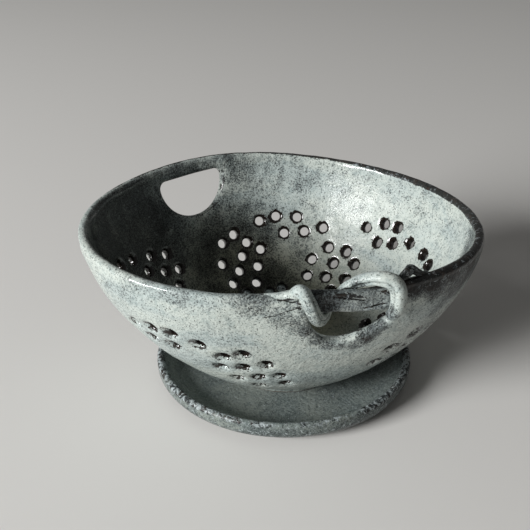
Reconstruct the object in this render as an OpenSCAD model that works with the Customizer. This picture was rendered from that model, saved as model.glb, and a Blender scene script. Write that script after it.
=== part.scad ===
// Hand-built berry bowl with drain holes, standing on its own drip saucer.
// Origin: the middle of the saucer's foot, on the table. The front handle is towards -Y.

/* [Bowl] */
// Longest width across the rim
rim_length = 206.4; // [200:0.2:214]
// Shortest width across the rim
rim_width = 173.2; // [168:0.2:180]
// Height from the foot's underside to the middle of the lip
bowl_h = 89.1; // [82:0.1:98]
// Thickness of the wall, and of the rounded lip
wall = 5.5; // [4.6:0.1:6.2]
// How far the rim leans to one side of the foot
rim_shift = 2.5; // [0:0.1:4]
// How far the three soft corners of the rim stand out
lobe = 3.3; // [0:0.1:4.5]
// How far the rim tips from one side to the other
rim_tip = 1.4; // [0:0.1:2.5]
// How far the rim rises and falls twice on its way round
rim_wave = 1.55; // [0:0.05:2.5]
// How far the rim wavers between those waves
rim_ripple = 0.55; // [0:0.05:1]

/* [Foot ring] */
// Outer diameter of the bowl's foot ring
foot_d = 64; // [58:0.5:70]
// Width of the ring that stands on the saucer
foot_w = 6; // [4:0.5:8]
// Height of the foot ring
foot_h = 4.5; // [3.5:0.25:6]
// Radius of the foot ring's rounded edge
foot_round = 1; // [0.5:0.1:1.5]

/* [Drain holes] */
// Bore of a drain hole
hole_d = 5.4; // [4:0.1:6.4]
// How far the outside mouth of a hole opens beyond its bore
flare_w = 1.5; // [0.5:0.1:1.8]
// Depth of that opened mouth
flare_h = 1.3; // [1:0.1:2]
// Radius of the ring of drain holes in the floor
floor_ring_r = 17; // [13:0.5:19]

/* [Rear finger opening] */
// Width of the rear opening
rear_w = 41.2; // [34:0.2:44]
// Depth of the rear opening
rear_h = 24.2; // [22:0.2:27]
// Height of the strip of rim left above it
rear_strip = 9.2; // [7:0.1:11]
// Radius of its upper corners
rear_corner = 4; // [2:0.25:5]

/* [Front handle] */
// Length of the handle bar, which is the width of the front opening
bar_l = 40; // [36:0.5:44]
// Height of the flat handle bar
bar_h = 11; // [9:0.1:12]
// Thickness of the handle bar
bar_t = 4.5; // [3.6:0.1:5.4]
// How far the bar's middle bows out from a straight line
bar_bow = 1.2; // [0:0.1:2.4]
// How far the left end of the bar stands above the lip
bar_rise = 1.2; // [0:0.1:2]
// How far the right end of the bar is below the left end
bar_fall = 2.2; // [1:0.1:4]
// Depth of the crease along the bar's outside
crease_h = 0.9; // [0:0.1:1.3]
// Depth of the finger opening under the bar
front_h = 19.5; // [17:0.5:22]
// How far the wall is tucked down beside the opening, where the rim peels off as a tendril
tuck_h = 3.6; // [2:0.1:4.5]

/* [Tendrils] */
// Thickness of the coiled tendrils
tendril_d = 6.4; // [5.4:0.1:6.8]
// Gap between a tendril and the clay that it lies against
seat = 0.25; // [0.2:0.05:0.4]
// Height of the small curl on the torn end of the rim
curl_h = 6.5; // [5:0.1:8]
// Thickness of that curl
curl_d = 5.2; // [4:0.1:5.6]

/* [Saucer] */
// Outer diameter of the saucer
saucer_d = 144.6; // [136:0.2:156]
// Overall height of the saucer
saucer_h = 14; // [12.5:0.1:18]
// Thickness of the saucer's floor above its foot recess
saucer_floor = 4; // [3.5:0.1:5]
// Depth of the recess inside the saucer's foot
recess_h = 1.5; // [1:0.1:2]
// Outer diameter of the saucer's foot
saucer_foot_d = 113; // [104:0.5:118]
// Width of the foot ring under the saucer
saucer_foot_w = 7; // [5:0.5:9]
// Thickness of the saucer's rounded lip
saucer_lip = 4.2; // [3.4:0.1:4.8]

/* [Hidden] */
$fn = 72;

// Columns round the bowl, and rings up its outside, over its lip and down its inside
columns = 96;
// Turn of the first column, which keeps every column off the middle of a hole
first_turn = 1.1;
outside_rings = 15;
lip_rings = 5;
inside_rings = 13;
// Rings are closer together near the foot, where the profile turns quickly
ring_bunching = 1.45;
// Step along the profile for its slope, as a share of its height
slope_step = 0.002;
// How far a cut runs past the clay
overrun = 2.5;

// Fullness of the bowl's belly: the powers of its profile
belly_turn = 1.52;
belly_full = 0.68;

// Turns, in degrees, of the rim's oval, lean, corners and waves
oval_turn = 154.5;
shift_turn = 128;
lobe_turn = 59;
tip_turn = 152;
wave_turn = 117;
ripple_turn = 64;
flutter_turn = 3;

// Turns of the two finger openings, and how far their cuts slope down to stand square to the wall
rear_turn = 100.5;
front_turn = 261;
cut_slope = 14;

// The inside mouth of a drain hole is softened by a share of the outside one
inside_mouth_share = 0.45;

// How far round the rim the tuck beside the front opening starts, and how soon it is at full depth
tuck_start = 18;
tuck_run = 10;
tuck_power = 7;
// Turn over which the lip's slope is read
slope_turn = 1;

foot_r = foot_d / 2;
floor_z = saucer_floor + recess_h;
seat_z = floor_z + foot_h;
lip_z = floor_z + bowl_h;
hole_r = hole_d / 2;
tendril_r = tendril_d / 2;
curl_r = curl_d / 2;

// Drain holes: [turn, share of the height], in the loose clusters that they were pierced in
back_shares = [
    [72, 0.54], [64, 0.57], [54, 0.57], [60, 0.46], [50, 0.48], [41, 0.52],
    [36, 0.40], [26, 0.40], [44, 0.31], [31, 0.31], [19, 0.34], [45, 0.21],
    [33, 0.22], [20, 0.24], [26, 0.15], [62, 0.13],
];
rear_left_shares = [
    [93, 0.43], [86, 0.47], [80, 0.41], [73, 0.36], [84, 0.33], [97, 0.31],
    [76, 0.26], [88, 0.25], [95, 0.19], [79, 0.17], [88, 0.12], [71, 0.11],
];
left_shares = [
    [142, 0.58], [132, 0.53], [124, 0.49], [138, 0.47], [130, 0.41], [122, 0.38],
    [128, 0.30], [150, 0.62],
];
right_shares = [
    [20, 0.59], [12, 0.65], [5, 0.66], [12, 0.52], [4, 0.55], [356, 0.60],
    [346, 0.585], [340, 0.56], [342, 0.10], [337, 0.18],
];
front_left_shares = [
    [188, 0.65], [195, 0.68], [202, 0.68], [192, 0.56], [200, 0.56], [210, 0.63],
    [217, 0.54], [224, 0.58], [214, 0.42], [223, 0.44], [232, 0.48], [218, 0.29],
    [228, 0.33], [237, 0.34], [240, 0.23], [226, 0.19],
];
front_right_shares = [
    [288, 0.58], [281, 0.49], [279, 0.36], [290, 0.45], [297, 0.54], [289, 0.32],
    [300, 0.42], [307, 0.50], [298, 0.29], [310, 0.37],
];
hole_shares = concat(
    back_shares, rear_left_shares, left_shares, right_shares, front_left_shares, front_right_shares
);
floor_holes = 5;
floor_turn = 20;

// Lower edge of the front opening: [share of its width from the middle, share of its depth]
front_edge_shares = [
    [-0.50, 0.93], [-0.485, 0.76], [-0.45, 0.57], [-0.39, 0.33], [-0.27, 0.09], [-0.12, 0],
    [0.05, 0.06], [0.23, 0.25], [0.38, 0.48], [0.465, 0.65], [0.50, 0.81],
];
edge_steps = 3;

// Radius and height of the rim at a turn: an oval with a lean, three soft corners and slow waves
function wave(a, size, count, turn) = size * cos(count * (a - turn));
function rim_r(a) = (rim_length + rim_width) / 4 + wave(a, (rim_length - rim_width) / 4, 2, oval_turn)
    + wave(a, rim_shift, 1, shift_turn) + wave(a, lobe, 3, lobe_turn);
function rim_z(a) = lip_z + wave(a, rim_tip, 1, tip_turn) + wave(a, rim_wave, 2, wave_turn)
    + wave(a, rim_ripple, 3, ripple_turn) + wave(a, rim_ripple, 4, flutter_turn);

function eased(x) = let (s = max(0, min(1, x))) s * s * (3 - 2 * s);
function tuck(a) = let (back = front_left - a)
    back < 0 ? 0 : tuck_h * eased((tuck_start - back) / tuck_run);
function lip_at(a) = rim_z(a) - tuck(a);

// Outside of the bowl as [radius, height] at a turn and a share of its height
function skin(a, u) = [
    foot_r + (rim_r(a) - foot_r) * pow(1 - pow(1 - u, belly_turn), belly_full),
    seat_z + (rim_z(a) - seat_z) * u - tuck(a) * pow(u, tuck_power),
];
function unit(v) = v / norm(v);
function outward(a, u) = let (
        lift = skin(a, min(u + slope_step, 1)) - skin(a, max(u - slope_step, 0))
    ) unit([lift.y, -lift.x]);
// A point that lies a given depth inside the clay
function in_clay(a, u, depth) = let (p = skin(a, u) - outward(a, u) * depth)
    [p.x * cos(a), p.x * sin(a), p.y];
// A point on the rounded lip, at a tilt up from its outer edge
lip_r = wall / 2;
function lip_middle(a) = rim_r(a) - lip_r;
function on_lip(a, tilt) = let (r = lip_middle(a) + lip_r * cos(tilt))
    [r * cos(a), r * sin(a), lip_at(a) + lip_r * sin(tilt)];

// Triangles that close a stack of rings, each of n points, with a flat or pointed cap at both ends
function ring_faces(rings, n) = [
    for (i = [0:rings - 2], j = [0:n - 1])
        let (k = (j + 1) % n, a = i * n + j, b = i * n + k, c = a + n, d = b + n)
            each [[a, c, b], [b, c, d]],
];
function cap_faces(ring, n, tip, flip) = [
    for (j = [0:n - 1])
        let (a = ring * n + j, b = ring * n + (j + 1) % n)
            flip ? [tip, a, b] : [tip, b, a],
];

module ring_solid(rings, first_tip, last_tip) {
    n = len(rings[0]);
    count = len(rings);
    points = concat([for (ring = rings) each ring], [first_tip, last_tip]);
    faces = concat(
        ring_faces(count, n),
        cap_faces(0, n, count * n, true),
        cap_faces(count - 1, n, count * n + 1, false)
    );
    polyhedron(points = points, faces = faces);
}

// A point on a smooth curve through a list of points, at a share of the way along
function on_curve(list, s) = let (
        last = len(list) - 1, x = min(s, 1) * last, i = min(floor(x), last - 1), f = x - i,
        p1 = list[i], p2 = list[i + 1],
        p0 = i > 0 ? list[i - 1] : 2 * p1 - p2,
        p3 = i < last - 1 ? list[i + 2] : 2 * p2 - p1
    ) p1 + ((p2 - p0) + (2 * p0 - 5 * p1 + 4 * p2 - p3 + (3 * p1 - p0 - 3 * p2 + p3) * f) * f) * f / 2;
function smooth_curve(list, steps) = let (count = steps * (len(list) - 1))
    [for (i = [0:count]) on_curve(list, i / count)];

// Tube along a path of [x, y, z, radius] points, with rounded ends
tube_sides = 14;
function direction(path, i) = let (a = path[max(i - 1, 0)], b = path[min(i + 1, len(path) - 1)])
    unit([b.x - a.x, b.y - a.y, b.z - a.z]);
function side_of(path, i, before) = let (d = direction(path, i)) unit(before - d * (before * d));
function sides_of(path, i = 0, before = [0, 0, 1]) = i == len(path) ? [] :
    let (s = side_of(path, i, before)) concat([s], sides_of(path, i + 1, s));
module tendril_tube(path) {
    sides = sides_of(path);
    last = len(path) - 1;
    spots = [for (p = path) [p.x, p.y, p.z]];
    rings = [
        for (i = [0:last])
            let (d = direction(path, i), v = sides[i], w = cross(d, v))
                [
                    for (j = [0:tube_sides - 1])
                        let (t = 360 * j / tube_sides) spots[i] + path[i][3] * (v * cos(t) + w * sin(t))
                ],
    ];
    first_tip = spots[0] - direction(path, 0) * path[0][3] / 2;
    last_tip = spots[last] + direction(path, last) * path[last][3] / 2;
    ring_solid(rings, first_tip, last_tip);
}

// The front handle's own frame: t runs along the bar to the right, y outwards from the bowl's middle
bar_left = -bar_l / 2;
bar_right = bar_l / 2;
function turn_at(t) = let (first = front_turn + asin(t / rim_r(front_turn)))
    front_turn + asin(t / lip_middle(first));
front_left = turn_at(bar_left);
front_right = turn_at(bar_right);
function clay_y(t) = lip_middle(turn_at(t)) * cos(turn_at(t) - front_turn);
function bar_share(t) = (t - bar_left) / bar_l;
function bar_y(t) = let (s = bar_share(t))
    clay_y(bar_left) + (clay_y(bar_right) - clay_y(bar_left)) * s + 4 * bar_bow * s * (1 - s);
bar_top = rim_z(front_left) + lip_r + bar_rise;
function bar_z(t) = bar_top - bar_h / 2 - bar_fall * bar_share(t);
function from_handle(p) = [
    p.y * cos(front_turn) - p.x * sin(front_turn),
    p.y * sin(front_turn) + p.x * cos(front_turn),
    p.z,
];

// Cuts an outline through the wall: its x runs round the rim, its y up the wall from the lip's middle
cut_reach = 8 * wall;
module wall_cut(turn) {
    translate([lip_middle(turn) * cos(turn), lip_middle(turn) * sin(turn), rim_z(turn)])
        rotate([0, 0, turn + 90]) rotate([90 + cut_slope, 0, 0])
            linear_extrude(height = cut_reach, center = true) children();
}

// A circle cut off straight by the strip of rim, with both corners rounded
module rear_outline() {
    top = lip_r - rear_strip;
    big_r = rear_w / 2;
    middle = top - rear_h + big_r;
    corner_y = top - rear_corner;
    corner_x = sqrt(pow(big_r - rear_corner, 2) - pow(corner_y - middle, 2));
    touch = unit([corner_x, corner_y - middle]) * big_r + [0, middle];
    intersection() {
        translate([0, middle]) circle(r = big_r);
        translate([-rear_w, touch.y - 2 * rear_w]) square([2 * rear_w, 2 * rear_w]);
    }
    polygon([[-corner_x, top], [corner_x, top], touch, [-touch.x, touch.y]]);
    for (side = [-1, 1]) translate([side * corner_x, corner_y]) circle(r = rear_corner);
}

// The whole gap that the front handle bridges, from the opening's lower edge to above the rim
module front_outline() {
    above = 2 * wall;
    under = bar_z(0) - bar_h / 2 - rim_z(front_turn);
    spots = [for (p = front_edge_shares) [p.x * bar_l, under + (p.y - 1) * front_h]];
    polygon(concat([[bar_left, above]], smooth_curve(spots, edge_steps), [[bar_right, above]]));
}

module drain_hole(a, u) {
    p = in_clay(a, u, 0);
    n = outward(a, u);
    widen = flare_w / flare_h;
    soft_h = flare_h * inside_mouth_share;
    translate(p) rotate([0, atan2(n.x, n.y), a]) rotate_extrude() polygon([
        [0, -wall - overrun], [hole_r + widen * (soft_h + overrun), -wall - overrun],
        [hole_r, soft_h - wall], [hole_r, -flare_h],
        [hole_r + widen * (flare_h + overrun), overrun], [0, overrun],
    ]);
}

turns = [for (j = [0:columns - 1]) first_turn + 360 * j / columns];
function wall_ring(share, depth) = [for (a = turns) in_clay(a, pow(share, ring_bunching), depth)];
module bowl_blank() {
    outside = [for (i = [0:outside_rings]) wall_ring(i / outside_rings, 0)];
    lip = [for (i = [1:lip_rings]) [for (a = turns) on_lip(a, 180 * i / (lip_rings + 1))]];
    inside = [for (i = [inside_rings:-1:0]) wall_ring(i / inside_rings, wall)];
    ring_solid(concat(outside, lip, inside), [0, 0, seat_z], [0, 0, seat_z + wall]);
}

module bowl_shell() {
    color("darkseagreen") difference() {
        bowl_blank();
        for (hole = hole_shares) drain_hole(hole.x, hole.y);
        for (i = [0:floor_holes]) rotate([0, 0, floor_turn + i * 360 / floor_holes])
            translate([i == floor_holes ? 0 : floor_ring_r, 0, seat_z - overrun])
                cylinder(r = hole_r, h = wall + 2 * overrun);
        wall_cut(rear_turn) rear_outline();
        wall_cut(front_turn) front_outline();
    }
}

module foot_ring() {
    inner_r = foot_r - foot_w;
    color("darkseagreen") translate([0, 0, floor_z]) rotate_extrude() {
        translate([inner_r, foot_round]) square([foot_w, foot_h - foot_round]);
        translate([inner_r + foot_round, 0]) square([foot_w - 2 * foot_round, foot_round]);
        for (x = [inner_r + foot_round, foot_r - foot_round])
            translate([x, foot_round]) circle(r = foot_round);
    }
}

// Section of the bar as [outwards, up], with its long crease on the outside
bar_sides = 24;
bar_steps = 16;
bar_square = 0.45;
crease_middle_share = 0.45;
crease_reach_share = 0.24;
crease_rise_share = 0.07;
crease_width_share = 0.09;
function squared(x) = sign(x) * pow(abs(x), bar_square);
function bump(x, middle, reach, power) = exp(-pow(abs(x - middle) / reach, power));
function bar_section(s) = let (depth = crease_h * bump(s, crease_middle_share, crease_reach_share, 4)) [
    for (j = [0:bar_sides - 1])
        let (
            t = -360 * j / bar_sides,
            up = squared(sin(t)) * bar_h / 2,
            out = squared(cos(t)) * bar_t / 2,
            dent = cos(t) > 0 ? depth * bump(up / bar_h, crease_rise_share, crease_width_share, 2) : 0
        ) [out - dent, up],
];

module handle_bar() {
    rings = [
        for (i = [0:bar_steps])
            let (t = bar_left + bar_l * i / bar_steps)
                [for (p = bar_section(i / bar_steps)) from_handle([t, bar_y(t) + p.x, bar_z(t) + p.y])],
    ];
    color("slategray") ring_solid(
        rings,
        from_handle([bar_left, bar_y(bar_left), bar_z(bar_left)]),
        from_handle([bar_right, bar_y(bar_right), bar_z(bar_right)])
    );
}

// Where the left tendril lies on the lip: [degrees from the opening, thicknesses outwards,
// share of its full radius]
left_rim_shares = [
    [-18, 0, 0.08], [-15.5, 0, 0.28], [-13, 0, 0.5], [-10, 0.03, 0.72], [-7, 0.14, 0.9], [-4.6, 0.3, 1],
];
// Where the tendrils pass the bar: [share along the bar, side (-1 inside, 1 outside),
// share of the bar's height, thicknesses above that, share of the full radius]
left_bar_shares = [
    [-0.062, 0.95, 1, 0.18, 1.08], [-0.035, 1.14, 0.76, 0, 1.12], [0.005, 1.12, 0.3, 0, 1.08],
    [0.055, 1.02, 0, -0.15, 1.02], [0.13, 0.45, 0, -0.5, 0.88], [0.22, -0.6, 0, -0.43, 0.75],
    [0.27, -1.04, 0.12, 0, 0.6], [0.29, -1.04, 0.4, 0, 0.35],
];
right_bar_shares = [
    [0.33, -1.02, 0.5, 0, 0.32], [0.385, -1.04, 0.8, 0, 0.6], [0.455, -0.97, 1, 0.16, 0.82],
    [0.55, -0.5, 1, 0.56, 0.95], [0.655, 0.15, 1, 0.84, 1.06], [0.755, 0.72, 1, 1, 1.16],
    [0.84, 1.08, 1, 0.8, 1.22], [0.89, 1.22, 1, 0.28, 1.24], [0.905, 1.24, 0.72, 0, 1.22],
    [0.905, 1.2, 0.42, 0, 1.16], [0.895, 1.14, 0.16, 0, 1.06], [0.875, 1.06, 0, -0.08, 0.9],
];
// The curl: [degrees from the opening, thicknesses outwards, share of its height, share of its radius]
curl_shares = [
    [8.5, 0, 0, 0.3], [6.8, 0, 0.06, 0.65], [5.2, 0, 0.4, 0.9], [3.9, -0.05, 0.72, 1],
    [2.5, -0.05, 0.5, 0.95], [1.5, 0, 0.08, 0.8],
];
curve_steps = 3;

function by_bar(p) = let (
        t = bar_left + p[0] * bar_l,
        r = tendril_r * p[4],
        y = bar_y(t) + p[1] * (bar_t / 2 + seat + r),
        z = bar_z(t) + (p[2] - 0.5) * bar_h + p[3] * tendril_d
    ) concat(from_handle([t, y, z]), [r]);

// A clay coil's spot over the lip, as high as its radius and the lip's slope ask for
function lip_slope(a) = (lip_at(a + slope_turn) - lip_at(a - slope_turn))
    / (2 * sin(slope_turn) * rim_r(a));
function over_lip(a, out, r, lift) = let (
        reach = lip_middle(a) + out,
        z = lip_at(a) + lip_r + (r + seat) * norm([1, lip_slope(a)]) + lift
    ) [reach * cos(a), reach * sin(a), z, r];

module left_tendril() {
    spots = concat(
        [for (p = left_rim_shares) over_lip(front_left + p[0], p[1] * tendril_d, p[2] * tendril_r, 0)],
        [for (p = left_bar_shares) by_bar(p)]
    );
    color("lightslategray") tendril_tube(smooth_curve(spots, curve_steps));
}

module right_tendril() {
    color("lightslategray") tendril_tube(smooth_curve([for (p = right_bar_shares) by_bar(p)], curve_steps));
}

module rim_curl() {
    spots = [
        for (p = curl_shares)
            over_lip(front_right + p[0], p[1] * curl_d, p[3] * curl_r, p[2] * (curl_h - curl_r))
    ];
    color("dimgray") tendril_tube(smooth_curve(spots, curve_steps));
}

// Section of the saucer: a flat floor that sweeps up into the rounded lip, and a flared underside
sweep_shares = [[0, 0], [0.45, 0.02], [0.7, 0.17], [0.85, 0.45], [0.94, 0.74], [1, 1]];
flare_shares = [[1, 1], [0.97, 0.62], [0.8, 0.33], [0.45, 0.12], [0, 0]];
// Where the lip's round starts and ends, in degrees from its outermost point
round_start = 132;
round_end = -6;
round_steps = 9;
module saucer() {
    round_r = saucer_lip / 2;
    middle = [saucer_d / 2 - round_r, saucer_h - round_r];
    lip = [
        for (i = [0:round_steps])
            let (t = round_start + (round_end - round_start) * i / round_steps)
                middle + round_r * [cos(t), sin(t)]
    ];
    floor_end = [foot_r + foot_w, floor_z];
    foot_end = [saucer_foot_d / 2, 0];
    up = lip[0] - floor_end;
    down = lip[round_steps] - foot_end;
    sweep = [for (p = sweep_shares) floor_end + [up.x * p.x, up.y * p.y]];
    flare = [for (p = flare_shares) foot_end + [down.x * p.x, down.y * p.y]];
    color("cadetblue") rotate_extrude() difference() {
        polygon(concat(
            [[0, floor_z]], smooth_curve(sweep, edge_steps), [for (i = [1:round_steps - 1]) lip[i]],
            smooth_curve(flare, edge_steps), [[0, 0]]
        ));
        square([foot_end.x - saucer_foot_w, recess_h]);
    }
}

saucer();
foot_ring();
bowl_shell();
handle_bar();
left_tendril();
right_tendril();
rim_curl();
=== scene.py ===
import math
from functools import partialmethod

import bmesh
import bpy
import numpy as np
from mathutils import Matrix, Vector, noise
from mathutils.bvhtree import BVHTree


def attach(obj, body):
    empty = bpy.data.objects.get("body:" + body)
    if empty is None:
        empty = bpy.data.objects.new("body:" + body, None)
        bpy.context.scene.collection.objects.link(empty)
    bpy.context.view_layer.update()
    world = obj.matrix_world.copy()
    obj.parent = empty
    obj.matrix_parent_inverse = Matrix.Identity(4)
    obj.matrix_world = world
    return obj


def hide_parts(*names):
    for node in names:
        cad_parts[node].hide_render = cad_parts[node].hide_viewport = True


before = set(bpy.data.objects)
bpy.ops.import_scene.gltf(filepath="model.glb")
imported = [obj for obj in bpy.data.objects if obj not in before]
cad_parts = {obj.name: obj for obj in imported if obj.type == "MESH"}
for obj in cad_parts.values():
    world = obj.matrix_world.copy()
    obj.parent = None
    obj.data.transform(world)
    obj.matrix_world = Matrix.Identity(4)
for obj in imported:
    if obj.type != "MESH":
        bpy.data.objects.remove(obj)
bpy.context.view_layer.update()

mm = 0.001
sceneNow = bpy.context.scene


# Small helpers

def deg(a):
    return math.radians(a)


def cosd(a):
    return math.cos(deg(a))


def sind(a):
    return math.sin(deg(a))


def heading(p):
    # the turn round the upright axis at which a place lies, in degrees
    return math.degrees(math.atan2(p[1], p[0])) % 360


def middleOf(verts):
    return sum((v.co for v in verts), Vector()) / len(verts)


def around(a, r, z):
    # a place at a turn in degrees, a distance from the upright axis and a height
    return (r * cosd(a), r * sind(a), z)


def lerp(a, b, t):
    return a + (b - a) * t


def eased(x):
    x = max(0.0, min(1.0, x))
    return x * x * (3 - 2 * x)


def onCurve(rows, s):
    # a smooth curve through rows of numbers, s from 0 to 1
    last = len(rows) - 1
    x = min(s, 1.0) * last
    i = min(int(x), last - 1)
    f = x - i
    p1, p2 = np.array(rows[i]), np.array(rows[i + 1])
    p0 = np.array(rows[i - 1]) if i > 0 else 2 * p1 - p2
    p3 = np.array(rows[i + 2]) if i < last - 1 else 2 * p2 - p1
    bend = 3 * p1 - p0 - 3 * p2 + p3
    return p1 + ((p2 - p0) + (2 * p0 - 5 * p1 + 4 * p2 - p3 + bend * f) * f) * f / 2


def newObject(name, bm):
    mesh = bpy.data.meshes.new(name)
    bm.to_mesh(mesh)
    bm.free()
    piece = bpy.data.objects.new(name, mesh)
    sceneNow.collection.objects.link(piece)
    return piece


def freeze(piece, name):
    # swaps a piece with live modifiers for its finished mesh
    graph = bpy.context.evaluated_depsgraph_get()
    mesh = bpy.data.meshes.new_from_object(piece.evaluated_get(graph))
    mesh.name = name
    oldMesh = piece.data
    bpy.data.objects.remove(piece)
    bpy.data.meshes.remove(oldMesh)
    done = bpy.data.objects.new(name, mesh)
    sceneNow.collection.objects.link(done)
    return done


def modifier(piece, kind, **settings):
    made = piece.modifiers.new(kind.lower(), kind)
    for key, value in settings.items():
        setattr(made, key, value)


def smoothShading(piece):
    piece.data.polygons.foreach_set("use_smooth", [True] * len(piece.data.polygons))
    piece.data.update()


def vertexRows(mesh, what):
    rows = np.empty(len(mesh.vertices) * 3, np.float32)
    mesh.vertices.foreach_get(what, rows)
    return rows.reshape(-1, 3).astype(float)


def points(mesh):
    return vertexRows(mesh, "co")


def normals(mesh):
    return vertexRows(mesh, "normal")


def setPoints(mesh, co):
    mesh.vertices.foreach_set("co", co.astype(np.float32).ravel())
    mesh.update()


def edgeEnds(mesh):
    ends = np.empty(len(mesh.edges) * 2, np.int32)
    mesh.edges.foreach_get("vertices", ends)
    return ends.reshape(-1, 2).T


def setMask(mesh, name, values):
    layer = mesh.attributes.get(name) or mesh.attributes.new(name, "FLOAT", "POINT")
    layer.data.foreach_set("value", np.asarray(values, np.float32))


def rising(values, low, high):
    # from 0 at low to 1 at high
    return np.clip((values - low) / (high - low), 0, 1)


def edgeMean(a, b, toA, toB, size):
    # the mean, at each point, of what the edges that meet there bring to their ends
    total = np.bincount(a, toA, size) + np.bincount(b, toB, size)
    count = np.bincount(a, minlength=size) + np.bincount(b, minlength=size)
    return total / np.maximum(count, 1)


def blurred(mesh, values, times):
    a, b = edgeEnds(mesh)
    for _ in range(times):
        values = 0.5 * values + 0.5 * edgeMean(a, b, values[b], values[a], len(values))
    return values


def edgeTurn(mesh):
    # how sharply the surface turns at each point, per millimetre: above 0 on edges, below 0 in creases
    co, no = points(mesh), normals(mesh)
    a, b = edgeEnds(mesh)
    step = co[b] - co[a]
    squared = np.maximum((step ** 2).sum(1), 1e-12)
    bend = ((no[b] - no[a]) * step).sum(1) / squared * mm
    return blurred(mesh, edgeMean(a, b, bend, bend, len(co)), 3)


def spun(rows, steps):
    # rows of radius and height, joined in a chain and spun round the upright axis
    bm = bmesh.new()
    chain = [bm.verts.new((x, 0, z)) for x, z in rows]
    edges = [bm.edges.new(pair) for pair in zip(chain, chain[1:])]
    bmesh.ops.spin(bm, geom=chain + edges, cent=(0, 0, 0), axis=(0, 0, 1), angle=2 * math.pi,
                   steps=steps, use_merge=True)
    bmesh.ops.remove_doubles(bm, verts=bm.verts, dist=1e-6)
    return bm


def onlyVerts(geom):
    return [g for g in geom if isinstance(g, bmesh.types.BMVert)]


def swept(bm, ring, stations):
    # a ring is drawn from station to station, and both ends are closed
    bmesh.ops.transform(bm, verts=ring, matrix=stations[0])
    rings, edges = [ring], bm.edges[:]
    for before, station in zip(stations, stations[1:]):
        grown = bmesh.ops.extrude_edge_only(bm, edges=edges)["geom"]
        rings.append(onlyVerts(grown))
        edges = [g for g in grown if isinstance(g, bmesh.types.BMEdge)]
        bmesh.ops.transform(bm, verts=rings[-1], matrix=station @ before.inverted())
    bmesh.ops.holes_fill(bm, edges=[e for e in bm.edges if e.is_boundary], sides=0)
    return rings


# The bowl's form, in metres and degrees, as the frame has it

bowl = {
    "rimLength": 206.4 * mm, "rimWidth": 173.2 * mm, "height": 89.1 * mm, "wall": 5.5 * mm,
    "shift": 2.5 * mm, "lobe": 3.3 * mm, "tip": 1.4 * mm, "wave": 1.55 * mm, "ripple": 0.55 * mm,
    "footR": 32 * mm, "footHeight": 4.5 * mm, "floorZ": 5.5 * mm,
    "bellyTurn": 1.52, "bellyFull": 0.68,
    "barLength": 40 * mm, "barHeight": 11 * mm, "barThick": 4.5 * mm, "barBow": 1.2 * mm,
    "barRise": 1.2 * mm, "barFall": 2.2 * mm, "frontTurn": 261.0, "rearTurn": 100.5,
    "cutSlope": 14.0, "frontDepth": 19.5 * mm, "tuck": 2.6 * mm, "tuckStart": 14.0, "tuckRun": 7.0,
    "swell": 0.8 * mm, "swellRun": 9.0,
    "rearWidth": 41.2 * mm, "rearDepth": 24.2 * mm, "rearStrip": 9.2 * mm, "rearCorner": 4 * mm,
    "holeR": 2.65 * mm, "flareWide": 1.6 * mm, "flareDeep": 1.35 * mm, "insideFlare": 0.6 * mm,
}
seatZ = bowl["floorZ"] + bowl["footHeight"]
lipZ = bowl["floorZ"] + bowl["height"]
lipR = bowl["wall"] / 2


def wave(a, size, count, turn):
    return size * cosd(count * (a - turn))


def rimR(a):
    return ((bowl["rimLength"] + bowl["rimWidth"]) / 4
            + wave(a, (bowl["rimLength"] - bowl["rimWidth"]) / 4, 2, 154.5)
            + wave(a, bowl["shift"], 1, 128) + wave(a, bowl["lobe"], 3, 59))


def rimZ(a):
    return (lipZ + wave(a, bowl["tip"], 1, 152) + wave(a, bowl["wave"], 2, 117)
            + wave(a, bowl["ripple"], 3, 64) + wave(a, bowl["ripple"], 4, 3))


def lipMiddle(a):
    return rimR(a) - lipR


def turnAt(t):
    first = bowl["frontTurn"] + math.degrees(math.asin(t / rimR(bowl["frontTurn"])))
    return bowl["frontTurn"] + math.degrees(math.asin(t / lipMiddle(first)))


barLeft, barRight = -bowl["barLength"] / 2, bowl["barLength"] / 2
frontLeft, frontRight = turnAt(barLeft), turnAt(barRight)


def tuck(a):
    # the rim swells a little before the opening, then dips under the tendril that peels off it
    back = frontLeft - a
    if back < 0:
        return 0.0
    swell = bowl["swell"] * math.exp(-((back - bowl["swellRun"]) / bowl["swellRun"]) ** 2)
    swell *= eased(back / 4)
    return bowl["tuck"] * eased((bowl["tuckStart"] - back) / bowl["tuckRun"]) - swell


def lipAt(a):
    return rimZ(a) - tuck(a)


def skin(a, u):
    full = (1 - (1 - u) ** bowl["bellyTurn"]) ** bowl["bellyFull"]
    return Vector((bowl["footR"] + (rimR(a) - bowl["footR"]) * full,
                   seatZ + (rimZ(a) - seatZ) * u - tuck(a) * u ** 7))


def outward(a, u):
    lift = skin(a, min(u + 0.002, 1)) - skin(a, max(u - 0.002, 0))
    return Vector((lift.y, -lift.x)).normalized()


def inClay(a, u, depth):
    p = skin(a, u) - outward(a, u) * depth
    return Vector(around(a, p.x, p.y))


def onLip(a, tilt):
    r = lipMiddle(a) + lipR * cosd(tilt)
    return Vector(around(a, r, lipAt(a) + lipR * sind(tilt)))


def clayY(t):
    return lipMiddle(turnAt(t)) * cosd(turnAt(t) - bowl["frontTurn"])


def barY(t):
    s = (t - barLeft) / bowl["barLength"]
    return lerp(clayY(barLeft), clayY(barRight), s) + 4 * bowl["barBow"] * s * (1 - s)


barTop = rimZ(frontLeft) + lipR + bowl["barRise"]


def barZ(t):
    return barTop - bowl["barHeight"] / 2 - bowl["barFall"] * (t - barLeft) / bowl["barLength"]


def fromHandle(t, y, z):
    # t runs along the bar to the right, y outwards from the bowl's middle
    c, s = cosd(bowl["frontTurn"]), sind(bowl["frontTurn"])
    return Vector((y * c - t * s, y * s + t * c, z))


# Bowl shell: a disc is spun, shaped into the wall, pierced, and softened as thrown clay is

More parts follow.
